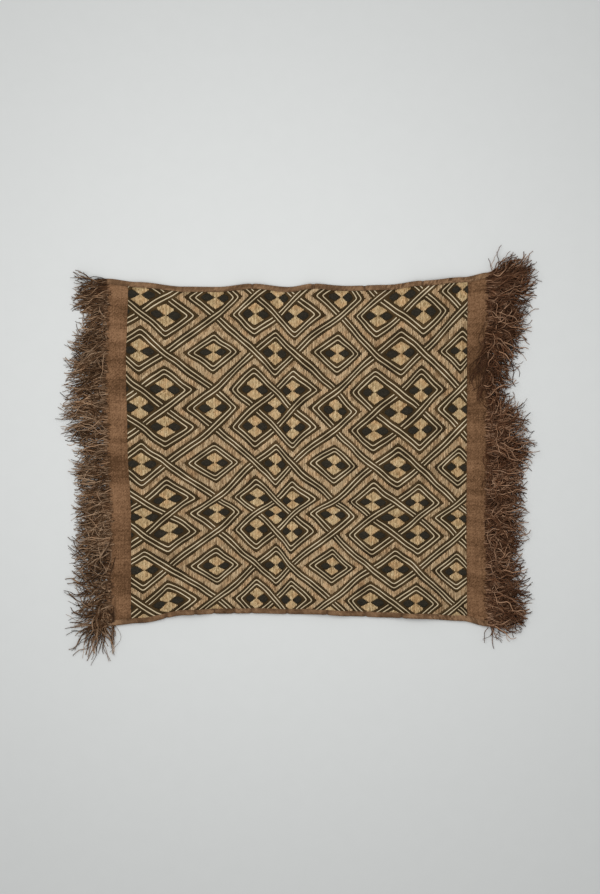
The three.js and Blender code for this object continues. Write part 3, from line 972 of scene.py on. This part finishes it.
def strand_lines(sign, up, heading, turned, length, curl, kink, pick):
    """Middle lines of strands: they leave the edge, turn to their heading and stay crimped."""
    count = len(up)
    t = np.linspace(0, 1, 3 * RINGS - 2)[None]
    angle = heading[:, None] * ease(t, 0, turned[:, None]) + curl[:, None] * t**1.3
    for shortest, longest, size in WAVES:
        turns = length[:, None] / pick.uniform(shortest, longest, count)[:, None]
        phase = pick.random(count)[:, None]
        bend = kink * size * pick.uniform(0.3, 1.3, count)[:, None] * ease(t, 0, 0.25)
        angle = angle + bend * np.sin(2 * math.pi * (t * turns + phase))
    angle = np.radians(angle)
    step = length[:, None] / (3 * RINGS - 3)
    u = np.cumsum(np.cos(angle) * step, 1) - np.cos(angle[:, :1]) * step
    v = np.cumsum(np.sin(angle) * step, 1) - np.sin(angle[:, :1]) * step
    root = np.where(pick.random(count) < 0.28, pick.uniform(-6, 0, count), pick.uniform(-1, 3.5, count))
    root = root + wobble(up * BODY_H, 0 * up, 1.2, 18, 300)
    return sign * (HALF_W + root[:, None] + u[:, ::3]), (up[:, None] - 0.5) * BODY_H + v[:, ::3]


def all_locks(locks, flopped, wisps, pick):
    """Height, heading, length and share of every lock, and which ones flopped over the band."""
    up = (np.arange(LOCK_COUNT) + pick.uniform(0.1, 0.9, LOCK_COUNT)) / LOCK_COUNT
    heading = along(locks, 1, up) + pick.normal(0, 6, LOCK_COUNT)
    length = along(locks, 2, up) * pick.uniform(0.92, 1.05, LOCK_COUNT)
    own = np.stack([up, heading, length, along(locks, 3, up)], -1)
    over = np.repeat([False, True, False], [LOCK_COUNT, len(flopped), len(wisps)])
    return join([own, flopped, wisps]).T.copy(), over


def strand_heights(u, style, crown, over, radius, pick):
    """Heights along strands, and the layer that each lies in."""
    strands, depth, t = len(over), style["depth"], RING_AT
    layer = crown + pick.normal(0, 0.25 * depth, strands)
    layer = np.where(over, pick.uniform(*OVER_LAYER, strands), layer)
    layer = np.clip(layer, 0.2, 1.15 * depth)[:, None]
    sway = np.cumsum(pick.normal(0, 0.45, (strands, RINGS)), 1) * ease(t, 0.05, 0.4)
    root = pick.uniform(1.4, 2.6, strands)[:, None] * (1 - t) ** 3
    crest = np.sin(math.pi * t ** style["crest"]) * 0.75 + 0.3 * t
    z = root + layer * crest + np.where(over, 0.4, 1)[:, None] * sway
    on_cloth = ease(-np.abs(u), -HALF_W - 4, -HALF_W)
    return np.clip(z, STRAND_CLEAR * on_cloth + radius, STRAND_MOST), layer


def strand_tones(style, up, tangle, over, layer, pick):
    """Tones along strands, with painted shade, and painted highlights in short lengths where the twisted
    strands catch the light.
    """
    strands, depth, t = len(over), style["depth"], RING_AT
    dye = pick.normal(0, 0.33, strands) * np.where(over, 0.6, 1)
    # Painted shade: darker by the table's height, most near the roots, and a little darker where strands
    # tangle
    shade = along(style["painted_shade"], 1, up)[:, None] * (1 - 0.5 * t) - 0.06 * tangle[:, None]
    # Painted light: strands are paler near the roots and towards the tips
    root_and_tip_painted_light = style["root"] * (1 - t) ** 4 + style["tip"] * t**3
    # Painted shade: strands in lower layers are darker and higher ones lighter
    tone = style["tone"] + shade + root_and_tip_painted_light + 0.25 * layer / depth + (dye + 0.05 * over)[:, None]
    # Painted highlights: each strand turns lighter and darker in short lengths along it
    painted_glints, phase = pick.uniform(1, 3, strands)[:, None], pick.random(strands)[:, None]
    tone = tone + 0.2 * np.sin(2 * math.pi * (painted_glints * t + phase))
    return np.repeat(np.clip(tone, 0, 1).ravel(), 3)


def bound_heads(sign, pick):
    """Heads along the edge, where each lock is caught: points, faces and tones."""
    v = np.arange(-HALF_H + 3, HALF_H - 3, HEAD_PITCH)
    v = v + pick.normal(0, 0.7, len(v))
    inner = np.stack([sign * (HALF_W - pick.uniform(*HEAD_OVER, len(v))), v], -1)
    outer = np.stack([np.full(len(v), sign * (HALF_W + SEAM + STRIP_W + HEAD_PAST)), v], -1)
    outer[:, 1] += pick.normal(0, 1.2, len(v))
    wide = pick.uniform(0.9, 1.7, len(v))
    *grid, faces = stitch_grids(inner, outer, wide, HEAD_LOW, HEAD_HIGH)
    return lay(*grid).reshape(-1, 3), faces, per_stitch(pick.uniform(0.3, 0.85, len(v)))


def strip(sign):
    """The flat sewn strip that the strands come out of."""
    low = HALF_W + SEAM
    across = np.sort(sign * np.linspace(low, low + STRIP_W, 5))
    u, v = np.meshgrid(across, np.linspace(-1, 1, 220) * HALF_H)
    crown = 1 - ((np.abs(u) - low - STRIP_W / 2) / (STRIP_W / 2)) ** 2
    return closed_sheet(u, v, 0 * u + BAND_LOW, 0.9 + 0.4 * crown + wobble(u, v, 0.2, 8, 77))


def fringe(name, node, sign, locks, flopped, wisps, style, seed):
    strands = style["strands"]
    pick = draws(seed)
    (lock_up, heading, length, share), over = all_locks(locks, flopped, wisps, pick)
    curl = pick.normal(0, 20, len(lock_up))
    crown = pick.uniform(0.1, 1, len(lock_up)) * style["depth"]
    lock = pick.choice(len(lock_up), strands, p=share / share.sum())
    over = over[lock]
    tangle = ease(-lock_up[lock], -style["tangled"], 0.12 - style["tangled"])
    spread = pick.normal(0, 0.55 / LOCK_COUNT, strands) * np.where(over, 1.8, 1 + 2 * tangle)
    up = np.clip(lock_up[lock] + spread, 0.002, 0.998)
    loose = (pick.random(strands) < style["loose"] + 0.3 * tangle) & ~over
    free = 1 - (1 - style["top_loose"]) * ease(up, 0.86, 0.95)
    free = (free - (1 - style["bottom_loose"]) * ease(-up, -0.12, -0.04)) * loose
    astray = style["astray"] * (1 + 0.5 * tangle)
    own_heading = heading[lock] + pick.normal(0, np.where(over, 13, 6)) + free * pick.normal(0, astray)
    grown = np.where(loose, pick.uniform(0.6, 1.15, strands), pick.uniform(0.72, 1.05, strands))
    grown = np.where(over, pick.uniform(0.35, 1.05, strands), grown)
    own_length = length[lock] * grown
    own_curl = np.where(over, OVER_CURL, curl[lock]) + pick.normal(0, np.where(over, 22, 12))
    own_curl = own_curl + free * pick.normal(0, style["curl"], strands)
    own_kink = np.where(over, OVER_CRIMP, style["crimp"] * (1 + 0.15 * tangle))[:, None]
    turned = np.where(over, 0.14, 0.35)
    u, v = strand_lines(sign, up, own_heading, turned, own_length, own_curl, own_kink, pick)
    t = RING_AT
    # Strands of a lock draw together towards its tip, and few curl back over the cloth
    v = v - np.where(loose, 0.0, 0.4)[:, None] * t**0.9 * spread[:, None] * BODY_H
    back = np.where(over, OVER_BACK, pick.uniform(1, 8, strands))[:, None]
    u = sign * np.maximum(np.abs(u), HALF_W - back)
    radius = np.where(over, 0.7, 1.0) * pick.uniform(style["thin"], style["thick"], strands)
    radius = radius[:, None] * (1 - 0.25 * t**4)
    z, layer = strand_heights(u, style, crown[lock], over, radius, pick)
    points, wall, ends = tubes(u, v, z, radius, pick)
    tone = strand_tones(style, up, tangle, over, layer, pick)
    head_points, head_faces, head_tone = bound_heads(sign, pick)
    strip_points, strip_faces = strip(sign)
    parts = [points, head_points, strip_points]
    starts = np.cumsum([0] + [len(part) for part in parts])
    faces = [wall, ends, head_faces + starts[1]] + [f + starts[2] for f in strip_faces]
    slots = join([np.full(len(f), k > 2) for k, f in enumerate(faces)])
    tone = join([tone, head_tone, np.full(len(strip_points), 0.5)])
    materials = [style["material"], BAND]
    piece = make(name, join(parts), faces, materials, tone, slots=slots)
    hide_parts(node)


NO_LOCKS = np.zeros((0, 4))
fringe("left_raffia_fringe", "fringe_left", -1, LEFT_LOCKS, NO_LOCKS, NO_LOCKS, LEFT_STYLE, seed=201)
fringe("right_raffia_fringe", "fringe_right", 1, RIGHT_LOCKS, FLOPPED, WISPS, RIGHT_STYLE, seed=202)


# The floor, light and camera. The middles of the photograph and of the cloth and the photograph's height
# in its pixels, and mm for a pixel
PHOTO_MIDDLE, CLOTH_MIDDLE, PHOTO_HIGH = (300, 447), (297.5, 450.5), 894
PIXEL = 1.45
LENS = 70
FLOOR_SIZE, GRAIN_SCALE, GRAIN_DEPTH = 80, 40, 0.0001
FLOOR_COLOURS = (207, 209, 208), (208, 210, 209)
# Name, place, size and watts of each light
LIGHTS = [("overhead", (-0.06, 0.13, 0.9), 1.0, 5.45), ("key", (-1.9, 2.3, 2.6), 1.6, 18)]
WORLD_STRENGTH = 0.576

bpy.ops.mesh.primitive_plane_add(size=FLOOR_SIZE)
floor = bpy.context.object
floor.name = "floor"
n = Nodes("pale_floor")
grain = n.noise(GRAIN_SCALE, 2.0)
floor_colour = n.ramp(grain, (0.3, 0.7), FLOOR_COLOURS)
floor.data.materials.append(n.finish(floor_colour, grain, GRAIN_DEPTH, rough=(0.8, 0.9)))

centre_x = (SHIFT[0] + (PHOTO_MIDDLE[0] - CLOTH_MIDDLE[0]) * PIXEL) * MM
centre_y = (SHIFT[1] + (CLOTH_MIDDLE[1] - PHOTO_MIDDLE[1]) * PIXEL) * MM
camera_data = bpy.data.cameras.new("camera")
camera_data.lens = LENS
camera = bpy.data.objects.new("camera", camera_data)
distance = PHOTO_HIGH * (PIXEL * MM) / 2 / (camera_data.sensor_width / 2 / camera_data.lens)
camera.location = (centre_x, centre_y, distance)
scene.collection.objects.link(camera)
scene.camera = camera

for name, place, size, power in LIGHTS:
    data = bpy.data.lights.new(name, "AREA")
    data.shape = "DISK"
    data.size = size
    data.energy = power
    light = bpy.data.objects.new(name, data)
    light.location = place
    light.rotation_euler = (-Vector(place)).to_track_quat("-Z", "Y").to_euler()
    scene.collection.objects.link(light)

world = bpy.data.worlds.new("studio")
world.use_nodes = True
sky = world.node_tree.nodes["Background"].inputs
sky["Color"].default_value = (1, 1, 1, 1)
sky["Strength"].default_value = WORLD_STRENGTH
scene.world = world
scene.view_settings.view_transform = "Standard"
